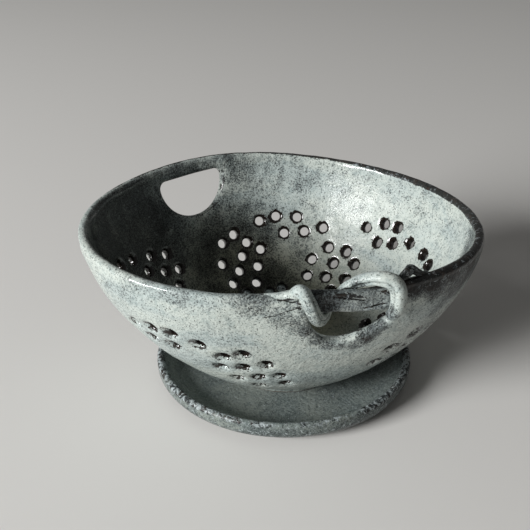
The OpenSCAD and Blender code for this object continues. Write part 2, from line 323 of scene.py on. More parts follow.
shell = {
    "steps": 300, "outsideRings": 44, "lipRings": 10, "insideRings": 40, "bunching": 1.45,
    "holeSides": 20, "voxel": 0.95 * mm, "smoothTimes": 1, "keep": 0.56,
    "settleTimes": 3, "longestMove": 0.8 * mm, "leastGap": 3 * mm, "nearCut": 2.6 * mm,
    "clearOfCut": 4 * mm,
    # how far round each finger opening reaches from its middle, in degrees, and how low down
    "frontReach": 20, "rearReach": 18, "frontLow": 55 * mm, "rearLow": 60 * mm,
    # how much darker the openings' edges are painted, in front only up to breakTo degrees past the
    # middle, and how dark, partly as painted shade, the openings' sides are next to the bores
    "frontBreak": 2.6, "rearBreak": 2.2, "breakTo": 5, "openingDark": 0.25,
    # how far an edge is rounded over: drain holes, finger openings
    "rounding": 0.7 * mm, "openingRounding": 2.0 * mm,
    "fingerMarks": 0.6 * mm, "markLength": 22 * mm, "lipWobble": 0.45 * mm, "wobbleLength": 14 * mm,
    "holes": [
        (72, .54), (64, .57), (54, .57), (60, .46), (50, .48), (41, .52), (36, .40), (26, .40), (44, .31),
        (31, .31), (19, .34), (45, .21), (33, .22), (20, .24), (26, .15), (62, .13),
        (93, .43), (86, .47), (80, .41), (73, .36), (84, .33), (97, .31), (76, .26), (88, .25), (95, .19),
        (79, .17), (88, .12), (71, .11),
        (142, .58), (132, .53), (124, .49), (138, .47), (130, .41), (122, .38), (128, .30), (150, .62),
        (20, .59), (12, .65), (5, .66), (12, .52), (4, .55), (356, .60), (346, .585), (340, .56),
        (342, .10), (337, .18),
        (188, .65), (195, .68), (202, .68), (192, .56), (200, .56), (210, .63), (217, .54), (224, .58),
        (214, .42), (223, .44), (232, .48), (218, .29), (228, .33), (237, .34), (240, .23), (226, .19),
        (288, .58), (281, .49), (279, .36), (290, .45), (297, .54), (289, .32), (300, .42), (307, .50),
        (298, .29), (310, .37),
    ],
    "floorHoles": 5, "floorRing": 17 * mm, "floorTurn": 20,
    # how far the coat breaks on the lip: degrees, strength, how far over towards the inside
    "lipBreak": [
        (0, 1.15, 1.2), (20, 1.1, .9), (45, 1, .6), (75, .9, .35), (100, .8, .3), (130, .6, .2),
        (150, .15, .2), (235, .05, .3), (246, .1, .5), (262, .8, 1), (272, 1.1, 1.2), (345, 1.2, 1.3),
        (360, 1.15, 1.2),
    ],
    # lower edge of the front opening: share of its width from the middle, share of its depth
    "frontEdge": [
        (-.50, 1.6), (-.50, .93), (-.485, .76), (-.45, .57), (-.39, .33), (-.27, .09), (-.12, 0),
        (.05, .06), (.23, .25), (.38, .48), (.465, .65), (.50, .81), (.50, 1.6),
    ],
}


def marks(p, size, length, seed):
    q = Vector(p) / length + Vector((seed, seed * 0.7, -seed))
    return size * (noise.noise(q) + 0.4 * noise.noise(q * 2.1))


def shellSpot(ring, a):
    # where a ring of the disc ends up: out along the floor, up the outside, over the lip, down the inside
    out, lip, ins = shell["outsideRings"], shell["lipRings"], shell["insideRings"]
    if ring == 0:
        return Vector((0, 0, seatZ))
    ring -= 1
    if ring <= out:
        u = (ring / out) ** shell["bunching"]
        p = inClay(a, u, 0)
        hollow = abs(marks(p, shell["fingerMarks"], shell["markLength"], 3)) * eased(u * 4)
        return inClay(a, u, hollow)
    ring -= out
    if ring <= lip:
        p = onLip(a, 180 * ring / (lip + 1))
        wobble = abs(marks(p, shell["lipWobble"], shell["wobbleLength"], 9))
        return p - Vector((0, 0, wobble * math.sin(math.pi * ring / (lip + 1))))
    ring -= lip + 1
    if ring <= ins:
        u = (1 - ring / ins) ** shell["bunching"]
        p = inClay(a, u, bowl["wall"])
        uneven = marks(p, shell["fingerMarks"], shell["markLength"] * 0.8, 7) * eased(u * 4)
        return inClay(a, u, bowl["wall"] + uneven)
    return Vector((0, 0, seatZ + bowl["wall"]))


def makeWall():
    # the rings are spun flat, a millimetre apart, so a point's radius says which ring it is on
    rings = shell["outsideRings"] + shell["lipRings"] + shell["insideRings"] + 4
    bm = spun([(i * mm, 0) for i in range(rings)], shell["steps"])
    for v in bm.verts:
        ring = round(v.co.length / mm)
        v.co = shellSpot(ring, heading(v.co))
    bmesh.ops.remove_doubles(bm, verts=bm.verts, dist=1e-6)
    bmesh.ops.recalc_face_normals(bm, faces=bm.faces)
    return newObject("wallBlank", bm)


def makeHoleCutter():
    # one bore that opens out at both mouths, spun round its own axis; deep is its overrun past the wall
    deep = 9 * mm
    widen = bowl["flareWide"] / bowl["flareDeep"]
    soft = bowl["insideFlare"]
    r, wall = bowl["holeR"], bowl["wall"]
    rows = [(0, -wall - deep), (r + widen * (soft + deep), -wall - deep), (r, soft - wall),
            (r, -bowl["flareDeep"]), (r + widen * (bowl["flareDeep"] + deep), deep), (0, deep)]
    bm = spun(rows, shell["holeSides"])
    bmesh.ops.recalc_face_normals(bm, faces=bm.faces)
    mesh = bpy.data.meshes.new("holeCutter")
    bm.to_mesh(mesh)
    bm.free()
    return mesh


def openingFrame(turn):
    place = around(turn, lipMiddle(turn), rimZ(turn))
    return (Matrix.Translation(place) @ Matrix.Rotation(deg(turn + 90), 4, "Z")
            @ Matrix.Rotation(deg(90 + bowl["cutSlope"]), 4, "X"))


def extrudedBothWays(bm, faces, reach):
    bmesh.ops.translate(bm, verts=bm.verts, vec=(0, 0, -reach))
    grown = bmesh.ops.extrude_face_region(bm, geom=faces)["geom"]
    bmesh.ops.translate(bm, verts=onlyVerts(grown), vec=(0, 0, 2 * reach))
    bmesh.ops.recalc_face_normals(bm, faces=bm.faces)


def addRearOpening(bm):
    # a bowl-shaped outline under the strip of rim: one wide arc and two small corner arcs
    top = lipR - bowl["rearStrip"]
    r, corner = bowl["rearWidth"] / 2, bowl["rearCorner"]
    middle = top - bowl["rearDepth"] + r
    reach = math.sqrt((r - corner) ** 2 - (top - corner - middle) ** 2)
    lean = math.degrees(math.asin((top - corner - middle) / (r - corner)))
    arcs = [((0, middle), r, 180 - lean, 360 + lean, 40), ((reach, top - corner), corner, lean, 90, 8),
            ((-reach, top - corner), corner, 90, 180 - lean, 8)]
    part = bmesh.new()
    verts = []
    for (x, y), size, start, end, steps in arcs:
        for i in range(steps):
            turn = deg(lerp(start, end, (i + 0.5) / steps))
            verts.append(part.verts.new((x + size * math.cos(turn), y + size * math.sin(turn), 0)))
    extrudedBothWays(part, [part.faces.new(verts)], 4 * bowl["wall"])
    bmesh.ops.transform(part, verts=part.verts, matrix=openingFrame(bowl["rearTurn"]))
    joined(bm, part)


def addFrontOpening(bm):
    part = bmesh.new()
    under = barZ(0) - bowl["barHeight"] / 2 - rimZ(bowl["frontTurn"])
    curve = [onCurve(shell["frontEdge"][1:-1], i / 30) for i in range(31)]
    rows = [shell["frontEdge"][0], *curve, shell["frontEdge"][-1]]
    places = [(x * bowl["barLength"], under + (y - 1) * bowl["frontDepth"], 0) for x, y in rows]
    part.faces.new([part.verts.new(place) for place in places])
    extrudedBothWays(part, part.faces[:], 4 * bowl["wall"])
    bmesh.ops.transform(part, verts=part.verts, matrix=openingFrame(bowl["frontTurn"]))
    joined(bm, part)


def joined(bm, part):
    mesh = bpy.data.meshes.new("part")
    part.to_mesh(mesh)
    part.free()
    bm.from_mesh(mesh)
    bpy.data.meshes.remove(mesh)


def makeCutters():
    bm = bmesh.new()
    hole = makeHoleCutter()

    def addHole(matrix):
        before = len(bm.verts)
        bm.from_mesh(hole)
        bm.verts.ensure_lookup_table()
        bmesh.ops.transform(bm, verts=bm.verts[before:], matrix=matrix)

    for a, u in shell["holes"]:
        n = outward(a, u)
        tilt = math.atan2(n.x, n.y)
        facing = Matrix.Rotation(deg(a), 4, "Z") @ Matrix.Rotation(tilt, 4, "Y")
        addHole(Matrix.Translation(inClay(a, u, 0)) @ facing)
    flip = Matrix.Rotation(math.pi, 4, "X")
    for i in range(shell["floorHoles"] + 1):
        r = 0 if i == shell["floorHoles"] else shell["floorRing"]
        place = around(shell["floorTurn"] + i * 360 / shell["floorHoles"], r, seatZ)
        addHole(Matrix.Translation(place) @ flip)
    bpy.data.meshes.remove(hole)
    addRearOpening(bm)
    addFrontOpening(bm)
    print("drain holes:", len(shell["holes"]) + shell["floorHoles"] + 1)
    return newObject("cutters", bm)


def signedFar(tree, p, nearOnly=None):
    # distance to a closed surface, above 0 outside it, and the way out; past nearOnly it is outside
    spot, facing, _, far = tree.find_nearest(p)
    side = 1 if (p - spot).dot(facing) > 0 or (nearOnly and far > nearOnly) else -1
    return side * far, ((p - spot) * (side / far) if far > 0.1 * mm else facing)


def byOpening(p):
    # 1 near the edges of the two finger openings, 0 elsewhere, and fade degrees from one to the other
    fade = 4
    front = eased((shell["frontReach"] + 1 - abs(heading(p) - bowl["frontTurn"])) / fade)
    rear = eased((shell["rearReach"] + 2 - abs(heading(p) - bowl["rearTurn"])) / fade)
    return max(front, rear) * eased((p.z / mm - 55) / 6)


def settle(mesh, wallTree, cutTree):
    # brings each point onto the pierced wall, with every edge rounded over
    co = points(mesh)
    offWall, offCut, outerSide = np.empty(len(co)), np.empty(len(co)), np.empty(len(co), bool)
    for i, start in enumerate(co):
        p = Vector(start)
        round2 = lerp(shell["rounding"], shell["openingRounding"], byOpening(p)) ** 2
        for _ in range(shell["settleTimes"]):
            wall, wallWay = signedFar(wallTree, p)
            cut, cutWay = signedFar(cutTree, p, shell["nearCut"])
            gap = wall + cut
            blend = math.sqrt(gap * gap + round2)
            off = (wall - cut + blend) / 2 - round2 / (4 * max(gap, shell["leastGap"]))
            way = wallWay * (0.5 + gap / blend / 2) - cutWay * (0.5 - gap / blend / 2)
            steep = max(way.length_squared, 0.3)
            move = way * (off / steep)
            if move.length > shell["longestMove"]:
                move *= shell["longestMove"] / move.length
            p = p - move
            if cut > shell["clearOfCut"]:
                break
        co[i] = p
        offWall[i], offCut[i] = wall, cut
        outerSide[i] = wallWay.x * p.x + wallWay.y * p.y > wallWay.z * math.hypot(p.x, p.y)
    setPoints(mesh, co)
    return offWall, offCut, outerSide


def makeShell():
    wall, cutters = makeWall(), makeCutters()
    wallTree = BVHTree.FromObject(wall, bpy.context.evaluated_depsgraph_get())
    cutTree = BVHTree.FromObject(cutters, bpy.context.evaluated_depsgraph_get())
    modifier(wall, "BOOLEAN", operation="DIFFERENCE", solver="EXACT", object=cutters, use_self=True)
    modifier(wall, "REMESH", mode="VOXEL", voxel_size=shell["voxel"])
    modifier(wall, "SMOOTH", factor=0.5, iterations=shell["smoothTimes"])
    modifier(wall, "DECIMATE", ratio=shell["keep"])
    piece = freeze(wall, "bowlShell")
    bpy.data.objects.remove(cutters)
    mesh = piece.data
    offWall, offCut, outerSide = settle(mesh, wallTree, cutTree)
    smoothShading(piece)
    maskShell(mesh, offWall / mm, offCut / mm, outerSide)
    print("bowl shell:", len(mesh.polygons), "faces")
    return piece


def maskShell(mesh, offWall, offCut, outerSide):
    # offWall and offCut: millimetres from the whole wall and from the cuts, below 0 inside them
    x, y, z = points(mesh).T
    leanX, leanY, leanZ = normals(mesh).T
    turn = np.degrees(np.arctan2(y, x)) % 360
    above = (z - np.array([lipAt(a) for a in turn])) / mm
    radial = (x * leanX + y * leanY) / np.maximum(np.hypot(x, y), mm)
    low = rising(-above, 0, 8)
    inside = np.clip(0.5 * low + 1.5 * (leanZ * 0.7 * low - radial), 0, 1)
    turns, strengths, reaches = zip(*shell["lipBreak"])
    lip = rising(above, -0.3, 1.2) * np.interp(turn, turns, strengths)
    lip *= rising(radial + np.interp(turn, turns, reaches), -0.2, 0.2)
    edgeMask = np.exp(-(np.maximum(np.abs(offCut) - 0.15, 0) / 0.9) ** 2) * rising(offWall, -1.65, -0.55)
    rear = (np.abs(turn - bowl["rearTurn"]) < shell["rearReach"]) & (z > shell["rearLow"])
    front = (np.abs(turn - bowl["frontTurn"]) < shell["frontReach"]) & (z > shell["frontLow"])
    edgeMask[rear] *= shell["rearBreak"]
    edgeMask[front & ~outerSide & (turn < bowl["frontTurn"] + shell["breakTo"])] *= shell["frontBreak"]
    # bores are dark, partly thin glaze and partly painted shade, but only half so just inside their
    # outer mouths, where pale glaze has run in
    deep = -offWall
    mouth = 0.5 * rising(deep, 0.15, 0.55) + 0.5 * rising(deep, 1.6, 2.4)
    boreMask = np.where(outerSide, mouth, rising(deep, 0.06, 0.36))
    boreMask[front | rear] *= shell["openingDark"]
    boreMask[offCut > 1.0] = 0
    brim = rising(above, -20, 0)
    for name, values, times in (("lip", lip, 1), ("brim", brim, 2), ("inside", inside, 2),
                                ("edge", edgeMask, 1), ("bore", boreMask, 0), ("crease", 0 * brim, 0)):
        setMask(mesh, name, blurred(mesh, values, times))


# Coiled clay: a round section is drawn along a path in short steps

def pathFrames(path):
    # a frame at each point of the path that doesn't twist: place, side, up and along
    spots = [Vector(p[:3]) for p in path]
    frames, before = [], None
    for i, p in enumerate(spots):
        along = (spots[min(i + 1, len(spots) - 1)] - spots[max(i - 1, 0)]).normalized()
        if before is None:
            side = along.cross(Vector((0, 0, 1))).normalized()
        else:
            side = (before - along * before.dot(along)).normalized()
        before = side
        up = along.cross(side)
        frames.append((p, side, up, along))
    return frames


def clayPiece(name, bm, look):
    bmesh.ops.recalc_face_normals(bm, faces=bm.faces)
    piece = newObject(name, bm)
    if look["levels"]:
        modifier(piece, "SUBSURF", levels=look["levels"], render_levels=look["levels"])
        piece = freeze(piece, name)
    smoothShading(piece)
    turnOf = edgeTurn(piece.data)
    setMask(piece.data, "edge", np.clip(turnOf * look["edgeGain"] - look["edgeFrom"], 0, 1))
    setMask(piece.data, "crease", np.clip(-turnOf * 3 - look["creaseFrom"], 0, look["deepest"]))
    print(name + ":", len(piece.data.polygons), "faces")
    return piece


def coil(name, path, look):
    # path rows: x, y, z, radius; the groove faces the way that look["grooveWay"] gives
    rows = [onCurve(path, i / look["steps"]) for i in range(look["steps"] + 1)]
    frames = pathFrames(rows)
    bm = bmesh.new()
    ring = bmesh.ops.create_circle(bm, cap_ends=False, segments=look["sides"], radius=1)["verts"]

    def matrixAt(i, scale=1.0, push=0.0):
        p, side, up, along = frames[i]
        r = rows[i][3] * scale
        m = Matrix((side * r, up * r, along)).transposed().to_4x4()
        m.translation = p + along * push * rows[i][3]
        return m

    # a rounded start, the whole path, and a rounded end
    dome = [(0.35, 0.92), (0.7, 0.7), (0.9, 0.42), (0.98, 0.18)]
    stations = [matrixAt(0, s, -b) for s, b in dome] + [matrixAt(i) for i in range(len(rows))]
    stations += [matrixAt(len(rows) - 1, s, b) for s, b in reversed(dome)]
    rings = swept(bm, ring, stations)
    # a long groove, and the press of fingers
    for k, verts in enumerate(rings):
        s = k / (len(rings) - 1)
        middle = middleOf(verts)
        along = frames[min(max(k - len(dome), 0), len(frames) - 1)][3]
        way = look["grooveWay"](middle, s)
        way = (way - along * way.dot(along)).normalized()
        run = eased((s - look["grooveFrom"]) * 8) * eased((look["grooveTo"] - s) * 8)
        for v in verts:
            out = v.co - middle
            r = out.length
            away = math.degrees(out.angle(way))
            dent = look["groove"] * math.exp(-(away / look["grooveWide"]) ** 2) * run
            press = noise.noise(v.co / look["pressLength"]) * look["press"]
            v.co = middle + out * max(0.3, 1 - (dent + abs(press)) / r)
    return clayPiece(name, bm, look)


tendril = {
    "radius": 3.2 * mm, "sink": -0.45 * mm, "steps": 72, "sides": 28, "levels": 1,
    "groove": 1.5 * mm, "grooveWide": 24,
    "press": 0.5 * mm, "pressLength": 6 * mm,
    "edgeGain": 1.3, "edgeFrom": 0.55, "creaseFrom": 0, "deepest": 0.43,
    # where the rim peels off: degrees from the opening, thicknesses outwards, share of the radius, sunk
    "leftRim": [(-14, 0, .18, 1.15 * mm), (-11.5, .02, .42, 1.73 * mm), (-9, .06, .62, 1.33 * mm),
                (-7, .12, .76, 1.0 * mm), (-5.2, .2, .92, 1.1 * mm)],
    # past the bar: share along it, side, share of its height, thicknesses above that, share of the radius
    "leftBar": [
        (-.13, .8, 1, .22, 1.05), (-.078, 1.12, .88, 0, 1.08), (-.025, 1.16, .42, 0, 1.08),
        (.035, 1.05, 0, -.12, 1.04), (.125, .45, 0, -.47, .9), (.22, -.6, 0, -.43, .75),
        (.27, -1.04, .12, 0, .6), (.29, -1.04, .4, 0, .35),
    ],
    "rightBar": [
        (.33, -1.02, .5, 0, .35), (.385, -1.04, .78, 0, .58), (.455, -.97, 1, -.08, .76),
        (.55, -.5, 1, .4, .93), (.655, .12, 1, .86, 1.06), (.755, .66, 1, 1.04, 1.16),
        (.85, 1.0, 1, .95, 1.22), (.91, 1.14, 1, .42, 1.25), (.928, 1.18, .76, 0, 1.24),
        (.926, 1.17, .45, 0, 1.18), (.91, 1.14, .18, 0, 1.06), (.885, 1.06, 0, -.08, .9),
    ],
    # what the loop bends round: shares of the bar's length and height
    "loopMiddle": (0.6, 0.55),
}


def byBar(row):
    along, side, height, lift, full = row
    t = barLeft + along * bowl["barLength"]
    r = tendril["radius"] * full
    y = barY(t) + side * (bowl["barThick"] / 2 + tendril["sink"] + r)
    z = barZ(t) + (height - 0.5) * bowl["barHeight"] + lift * 2 * tendril["radius"]
    return (*fromHandle(t, y, z), r)


def overLip(a, out, r, lift=0.0, sink=0.0):
    slope = (lipAt(a + 1) - lipAt(a - 1)) / (2 * sind(1) * rimR(a))
    z = lipAt(a) + lipR + (r - sink) * math.hypot(1, slope) + lift
    return (*around(a, lipMiddle(a) + out, z), r)


def handleWay(t, y, z):
    return fromHandle(t, y, z) - fromHandle(0, 0, 0)


def makeLeftTendril():
    path = [overLip(frontLeft + a, out * 2 * tendril["radius"], full * tendril["radius"], sink=sink)
            for a, out, full, sink in tendril["leftRim"]]
    path += [byBar(row) for row in tendril["leftBar"]]
    look = dict(tendril, grooveWay=lambda p, s: handleWay(0.75, 0.65, 0.1), grooveFrom=0.42, grooveTo=0.9)
    return coil("leftTendril", path, look)


def makeRightTendril():
    along, up = tendril["loopMiddle"]
    t = barLeft + along * bowl["barLength"]
    middle = fromHandle(t, barY(t), barZ(t) + (up - 0.5) * bowl["barHeight"])

    def toLoop(p, s):
        # the groove runs along the band's face and slips to its inner side
        share = eased((s - 0.3) / 0.45)
        return (middle - p).normalized() * lerp(0.15, 0.85, share) + handleWay(0, lerp(1, 0.6, share), 0)

    look = dict(tendril, grooveWay=toLoop, grooveFrom=0.2, grooveTo=0.97)
    return coil("rightTendril", [byBar(row) for row in tendril["rightBar"]], look)


curl = {
    "radius": 2.6 * mm, "height": 7.1 * mm, "steps": 44, "sides": 24, "levels": 1,
    "groove": 1.6 * mm, "grooveWide": 34, "grooveFrom": 0.1, "grooveTo": 0.95,
    "press": 1.0 * mm, "pressLength": 3.2 * mm, "sunk": 0.8 * mm,
    "edgeGain": 1.2, "edgeFrom": 0.4, "creaseFrom": 0, "deepest": 0.43,
    # degrees past the opening, thicknesses outwards, share of the height, share of the radius
    "path": [(10.5, 0, 0, .3), (7.6, 0, .02, .6), (5.6, .05, .3, .8), (4.1, -.1, .7, .85),
             (2.7, .1, .52, .9), (1.2, 0, .0, .8)],
}


def makeRimCurl():
    path = [overLip(frontRight + a, out * 2 * curl["radius"], full * curl["radius"],
                    lift * (curl["height"] - curl["radius"]), curl["sunk"])
            for a, out, lift, full in curl["path"]]
    look = dict(curl, grooveWay=lambda p, s: handleWay(-0.5, 0.8, 0.3))
    return coil("rimCurl", path, look)


# Handle bar: a flattened coil with creases along its outside

bar = {
    "steps": 90, "sides": 96, "levels": 0, "corner": 1.9 * mm,
    # how far each end runs into the wall, and how much it narrows there
    "overlap": 2.2 * mm, "pinch": 0.28,
    "press": 0.7 * mm, "pressLength": 8 * mm,
    "edgeGain": 1.6, "edgeFrom": 0.35, "creaseFrom": 0.05, "deepest": 1,
    # dents in the outside: middle along, reach along, middle up, rise to the right, half width, depth
    "dents": [
        (.42, .15, .165, -.105, .05, 1.1 * mm), (.75, .3, -.02, .14, .15, 0.45 * mm),
        (.7, .13, -.24, .1, .05, 0.7 * mm), (.2, .2, -.1, .0, .16, 0.5 * mm),
    ],
}


def roundedSection(wide, high, corner, share):
    # a place on a rounded oblong, given as a share of the way round from the middle of its right side
    flatX, flatY, arc = wide - 2 * corner, high - 2 * corner, math.pi * corner / 2
    way = share * 2 * (flatX + flatY) + share * 4 * arc
    x, y, turn = wide / 2, 0.0, 90.0
    for length in (flatY / 2, 0, flatX, 0, flatY, 0, flatX, 0, flatY / 2):
        if length:
            step = min(way, length)
            x, y = x + step * cosd(turn), y + step * sind(turn)
            way -= step
        else:
            bend = min(way, arc) / arc * 90
            cx, cy = x + corner * cosd(turn + 90), y + corner * sind(turn + 90)
            turn += bend
            x, y = cx - corner * cosd(turn + 90), cy - corner * sind(turn + 90)
            way -= min(way, arc)
        if way <= 1e-9:
            break
    return x, y


def barDent(s, up):
    deep = 0
    for middle, reach, high, rise, wide, depth in bar["dents"]:
        level = high + rise * (s - middle) / reach
        deep += depth * math.exp(-abs((s - middle) / reach) ** 4) * math.exp(-((up - level) / wide) ** 2)
    return deep


def makeBar():
    bm = bmesh.new()
    ring = bmesh.ops.create_circle(bm, cap_ends=False, segments=bar["sides"], radius=1)["verts"]
    for i, v in enumerate(ring):
        share = i / bar["sides"]
        v.co.x, v.co.y = roundedSection(bowl["barThick"], bowl["barHeight"], bar["corner"], share)
    first, last = barLeft - bar["overlap"], barRight + bar["overlap"]
    outDir, along = handleWay(0, 1, 0), handleWay(1, 0, 0)
    stations = []
    for i in range(bar["steps"] + 1):
        t = lerp(first, last, i / bar["steps"])
        inside = min(max(t, barLeft), barRight)
        pinch = 1 - bar["pinch"] * eased((abs(t) - barRight) / bar["overlap"])
        m = Matrix((outDir * pinch, Vector((0, 0, 1)) * pinch, along)).transposed().to_4x4()
        m.translation = fromHandle(t, barY(inside), barZ(inside))
        stations.append(m)
    rings = swept(bm, ring, stations)
    for k, verts in enumerate(rings):
        s = k / (len(rings) - 1)
        middle = middleOf(verts)
        for v in verts:
            up = (v.co.z - middle.z) / bowl["barHeight"]
            outside = (v.co - middle).dot(outDir) / bowl["barThick"] * 2
            press = abs(noise.noise(v.co / bar["pressLength"] + Vector((4, 0, 0)))) * bar["press"]
            v.co -= outDir * (outside * press + max(outside, 0) * barDent(s, up))
            v.co.z -= press * 0.8 * (1 if up > 0 else -1) * abs(up) * 2
    return clayPiece("handleBar", bm, bar)


# Saucer: one profile spun round, then let off true a little

saucer = {
    "diameter": 144.6 * mm, "height": 14 * mm, "floor": 4 * mm, "recess": 1.5 * mm,
    "footDiameter": 113 * mm, "footWidth": 7 * mm, "footFlat": 3.4 * mm,
    "footWorn": 0.5 * mm, "lip": 4.2 * mm, "floorFlat": 38 * mm,
    "sweep": [(0, 0), (.45, .02), (.7, .17), (.85, .45), (.94, .74), (1, 1)],
    "flare": [(1, 1), (.97, .62), (.8, .33), (.45, .12), (0, 0)],
    "roundStart": 132, "roundEnd": -6, "steps": 240,
    # turning rings on the floor: height, and how fast they follow, in radians per millimetre
    "rings": 0.03 * mm, "ringRate": 0.9,
    # the rim is off true from this share of the radius on, and fully so a second share further out
    "rimFrom": 0.72, "rimRun": 0.28, "offTrue": 0.6 * mm, "ragged": 0.5 * mm,
    # where the rim is drawn in a little: degrees, how far
    "drawnIn": [(-112, 2.6 * mm), (-25, 1.2 * mm)],
    # how far the coat breaks on the lip: degrees, strength
    "lipBreak": [(0, .7), (140, .8), (160, 1.0), (198, 1.0), (214, .72), (262, .62), (276, .85),
                 (312, 1.0), (335, .8), (360, .7)],
}


def saucerProfile():
    r = saucer["lip"] / 2
    middle = Vector((saucer["diameter"] / 2 - r, saucer["height"] - r))
    lip = [middle + r * Vector((cosd(t), sind(t)))
           for t in np.linspace(saucer["roundStart"], saucer["roundEnd"], 13)]
    floorZ = saucer["floor"] + saucer["recess"]
    start, end = Vector((saucer["floorFlat"], floorZ)), Vector((saucer["footDiameter"] / 2, 0))
    up, down = lip[0] - start, lip[-1] - end

    def between(foot, way, shares, steps):
        spots = [onCurve(shares, i / steps) for i in range(steps + 1)]
        return [foot + Vector((way.x * x, way.y * y)) for x, y in spots]

    sweep, flare = between(start, up, saucer["sweep"], 26), between(end, down, saucer["flare"], 22)
    floor = [Vector((saucer["floorFlat"] * i / 20, floorZ)) for i in range(20)]
    footIn, worn = saucer["footDiameter"] / 2 - saucer["footWidth"], saucer["footWorn"]
    under = [(footIn + saucer["footFlat"], 0), (footIn + worn, 0), (footIn, worn)]
    under += [(x, saucer["recess"]) for x in (footIn, footIn * 0.6, 0)]
    return floor + sweep[:-1] + lip + flare[1:] + [Vector(p) for p in under]


def unevenRound(a, scale, seed):
    # wanders between 0 and 1 round the rim and meets itself
    return noise.noise(Vector((math.cos(a) * scale, math.sin(a) * scale, seed))) * 0.5 + 0.5


def makeSaucer():
    bm = spun(saucerProfile(), saucer["steps"])
    bmesh.ops.recalc_face_normals(bm, faces=bm.faces)
    # the masks are worked out, in millimetres, before the saucer is let off true
    outer = saucer["diameter"] / 2
    x, y, high = np.array([v.co for v in bm.verts]).T / mm
    wide, fromLip = np.hypot(x, y), np.hypot(x, y) - (outer - saucer["lip"]) / mm
    lipMask = rising(high - saucer["height"] / mm, -3.2, -1.8) * rising(fromLip, 0, 1.2)
    lipMask *= np.interp(np.degrees(np.arctan2(y, x)) % 360, *zip(*saucer["lipBreak"]))
    lineMask = 0.75 * np.exp(-((fromLip - 0.3) / 0.8) ** 2) * (high > saucer["floor"] / mm + 4)
    for v in bm.verts:
        r, a = math.hypot(v.co.x, v.co.y), math.atan2(v.co.y, v.co.x)
        out = eased((r / outer - saucer["rimFrom"]) / saucer["rimRun"])
        v.co.z -= saucer["offTrue"] * out * unevenRound(a, 1.1, 5) * (v.co.z / saucer["height"])
        less = saucer["ragged"] * unevenRound(a, 3.5, 9)
        for toward, far in saucer["drawnIn"]:
            less += far * max(0.0, math.cos(a - deg(toward))) ** 2
        v.co.x *= 1 - less / outer * out
        v.co.y *= 1 - less / outer * out
        if v.co.z > saucer["floor"]:
            v.co.z += saucer["rings"] * math.sin(r / mm * saucer["ringRate"]) * (1 - out)
    piece = newObject("saucerGlazed", bm)
    smoothShading(piece)
    # the brim is a little darker; faces that turn outwards are half darkened and downwards fully: painted
    # shade
    brim = 0.35 * rising(high, 7.5, 11.5) * rising(wide, 60, 65)
    brim = np.maximum(brim, rising(-normals(piece.data)[:, 2], -0.25, 0.25))
    for name, values in (("lip", lipMask), ("edge", lipMask), ("brim", brim), ("crease", lineMask)):
        setMask(piece.data, name, values)
    print("saucer:", len(piece.data.polygons), "faces")
    return piece


# Glaze: shared node groups

grain = {
    # patterns in the glaze, from broad drifts to fine dust: scale per metre, detail, roughness, warp
    "drift": (22.0, 5.0, 0.6, 0.5), "blotch": (85.0, 6.0, 0.62, 0.6), "runs": (95.0, 4.0, 0.62, 0.8),
    "bareEdge": (120.0, 4.0, 0.5, 0.0), "pits": (210.0, 3.0, 0.5, 0.0), "rust": (260.0, 3.0, 0.6, 0.0),
    "mottle": (330.0, 4.0, 0.65, 0.4), "flecks": (380.0, 5.0, 0.75, 0.8), "bores": (430.0, 3.0, 0.6, 0.0),
    "clay": (500.0, 5.0, 0.65, 0.0), "skin": (520.0, 2.0, 0.55, 0.0), "marks": (700.0, 2.0, 0.6, 0.0),
    "stipple": (1000.0, 2.5, 0.7, 0.0), "dust": (1250.0, 2.0, 0.6, 0.0),
    # how far two of them are squashed or drawn out upwards, and the tints of two
    "driftStretch": 2.6, "runStretch": 0.28,
    "driftTint": (0.82, 0.86, 0.9), "mottleTint": (0.74, 0.77, 0.78),
    # iron specks: scale, share of the amount, size
    "specks": [(300.0, 0.5, 0.15), (640.0, 1.0, 0.2), (1150.0, 1.3, 0.26)],
}


def nodeGroup(name, inputs, outputs):
    # an input with no value is a vector; an output is a number unless it's called Color
    group = bpy.data.node_groups.new(name, "ShaderNodeTree")
    for label, value in inputs:
        kind = {float: "Float", tuple: "Color"}.get(type(value), "Vector")
        socket = group.interface.new_socket(name=label, in_out="INPUT", socket_type="NodeSocket" + kind)
        if value is not None:
            socket.default_value = value
    for label in outputs:
        kind = "Color" if label == "Color" else "Float"
        group.interface.new_socket(name=label, in_out="OUTPUT", socket_type="NodeSocket" + kind)
    w = Wires(group)
    return group, w, w.node("NodeGroupInput").outputs, w.node("NodeGroupOutput").inputs


